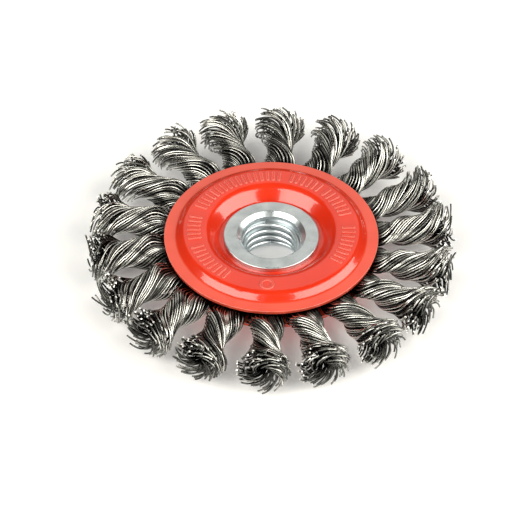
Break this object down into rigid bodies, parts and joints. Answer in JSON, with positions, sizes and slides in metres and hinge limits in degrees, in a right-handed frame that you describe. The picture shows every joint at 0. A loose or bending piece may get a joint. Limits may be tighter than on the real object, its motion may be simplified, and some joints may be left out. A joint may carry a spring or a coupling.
{
  "type": "twist-knot wire wheel",
  "caption": "Wire wheel brush for an angle grinder: twisted steel wire knots clamped between two dished red cover plates on a threaded hub nut.",
  "frame": {"origin": "centre of the hub nut's rear face, which seats on the spindle flange and which the wheel lies on", "axes": "+Z along the spin axis towards the front, where the riveted collar is; +X and +Y across the wheel, with the knot holes at 7 degrees and every 20 degrees on from +X"},
  "size_m": [0.1022, 0.1019, 0.0159],
  "materials": {
    "zinc_plated_steel": "bright zinc plating",
    "red_enamel": "gloss enamel",
    "plain_steel": "plain rolled sheet",
    "steel_wire": "bright drawn wire"
  },
  "bodies": {
    "wheel": {"hub_nut": "zinc_plated_steel", "front_cover": "red_enamel", "rear_cover": "red_enamel", "knot_holder": "plain_steel"},
    "knot_01": {"knot_01": "steel_wire"},
    "knot_02": {"knot_02": "steel_wire"},
    "knot_03": {"knot_03": "steel_wire"},
    "knot_04": {"knot_04": "steel_wire"},
    "knot_05": {"knot_05": "steel_wire"},
    "knot_06": {"knot_06": "steel_wire"},
    "knot_07": {"knot_07": "steel_wire"},
    "knot_08": {"knot_08": "steel_wire"},
    "knot_09": {"knot_09": "steel_wire"},
    "knot_10": {"knot_10": "steel_wire"},
    "knot_11": {"knot_11": "steel_wire"},
    "knot_12": {"knot_12": "steel_wire"},
    "knot_13": {"knot_13": "steel_wire"},
    "knot_14": {"knot_14": "steel_wire"},
    "knot_15": {"knot_15": "steel_wire"},
    "knot_16": {"knot_16": "steel_wire"},
    "knot_17": {"knot_17": "steel_wire"},
    "knot_18": {"knot_18": "steel_wire"}
  },
  "joints": [
    {"name": "knot_01_flex", "type": "hinge", "parent": "wheel", "child": "knot_01", "pos_m": [0.02184, 0.00268, 0.009], "axis": [0, 0, 1], "range_deg": [-1.5, 1.5], "stiffness_Nm_per_rad": 0.25},
    {"name": "knot_02_flex", "type": "hinge", "parent": "wheel", "child": "knot_02", "pos_m": [0.0196, 0.00999, 0.009], "axis": [0, 0, 1], "range_deg": [-1.5, 1.5], "stiffness_Nm_per_rad": 0.25},
    {"name": "knot_03_flex", "type": "hinge", "parent": "wheel", "child": "knot_03", "pos_m": [0.015, 0.01609, 0.009], "axis": [0, 0, 1], "range_deg": [-1.5, 1.5], "stiffness_Nm_per_rad": 0.25},
    {"name": "knot_04_flex", "type": "hinge", "parent": "wheel", "child": "knot_04", "pos_m": [0.0086, 0.02025, 0.009], "axis": [0, 0, 1], "range_deg": [-1.5, 1.5], "stiffness_Nm_per_rad": 0.25},
    {"name": "knot_05_flex", "type": "hinge", "parent": "wheel", "child": "knot_05", "pos_m": [0.00115, 0.02197, 0.009], "axis": [0, 0, 1], "range_deg": [-1.5, 1.5], "stiffness_Nm_per_rad": 0.25},
    {"name": "knot_06_flex", "type": "hinge", "parent": "wheel", "child": "knot_06", "pos_m": [-0.00643, 0.02104, 0.009], "axis": [0, 0, 1], "range_deg": [-1.5, 1.5], "stiffness_Nm_per_rad": 0.25},
    {"name": "knot_07_flex", "type": "hinge", "parent": "wheel", "child": "knot_07", "pos_m": [-0.01324, 0.01757, 0.009], "axis": [0, 0, 1], "range_deg": [-1.5, 1.5], "stiffness_Nm_per_rad": 0.25},
    {"name": "knot_08_flex", "type": "hinge", "parent": "wheel", "child": "knot_08", "pos_m": [-0.01845, 0.01198, 0.009], "axis": [0, 0, 1], "range_deg": [-1.5, 1.5], "stiffness_Nm_per_rad": 0.25},
    {"name": "knot_09_flex", "type": "hinge", "parent": "wheel", "child": "knot_09", "pos_m": [-0.02144, 0.00495, 0.009], "axis": [0, 0, 1], "range_deg": [-1.5, 1.5], "stiffness_Nm_per_rad": 0.25},
    {"name": "knot_10_flex", "type": "hinge", "parent": "wheel", "child": "knot_10", "pos_m": [-0.02184, -0.00268, 0.009], "axis": [0, 0, 1], "range_deg": [-1.5, 1.5], "stiffness_Nm_per_rad": 0.25},
    {"name": "knot_11_flex", "type": "hinge", "parent": "wheel", "child": "knot_11", "pos_m": [-0.0196, -0.00999, 0.009], "axis": [0, 0, 1], "range_deg": [-1.5, 1.5], "stiffness_Nm_per_rad": 0.25},
    {"name": "knot_12_flex", "type": "hinge", "parent": "wheel", "child": "knot_12", "pos_m": [-0.015, -0.01609, 0.009], "axis": [0, 0, 1], "range_deg": [-1.5, 1.5], "stiffness_Nm_per_rad": 0.25},
    {"name": "knot_13_flex", "type": "hinge", "parent": "wheel", "child": "knot_13", "pos_m": [-0.0086, -0.02025, 0.009], "axis": [0, 0, 1], "range_deg": [-1.5, 1.5], "stiffness_Nm_per_rad": 0.25},
    {"name": "knot_14_flex", "type": "hinge", "parent": "wheel", "child": "knot_14", "pos_m": [-0.00115, -0.02197, 0.009], "axis": [0, 0, 1], "range_deg": [-1.5, 1.5], "stiffness_Nm_per_rad": 0.25},
    {"name": "knot_15_flex", "type": "hinge", "parent": "wheel", "child": "knot_15", "pos_m": [0.00643, -0.02104, 0.009], "axis": [0, 0, 1], "range_deg": [-1.5, 1.5], "stiffness_Nm_per_rad": 0.25},
    {"name": "knot_16_flex", "type": "hinge", "parent": "wheel", "child": "knot_16", "pos_m": [0.01324, -0.01757, 0.009], "axis": [0, 0, 1], "range_deg": [-1.5, 1.5], "stiffness_Nm_per_rad": 0.25},
    {"name": "knot_17_flex", "type": "hinge", "parent": "wheel", "child": "knot_17", "pos_m": [0.01845, -0.01198, 0.009], "axis": [0, 0, 1], "range_deg": [-1.5, 1.5], "stiffness_Nm_per_rad": 0.25},
    {"name": "knot_18_flex", "type": "hinge", "parent": "wheel", "child": "knot_18", "pos_m": [0.02144, -0.00495, 0.009], "axis": [0, 0, 1], "range_deg": [-1.5, 1.5], "stiffness_Nm_per_rad": 0.25}
  ]
}
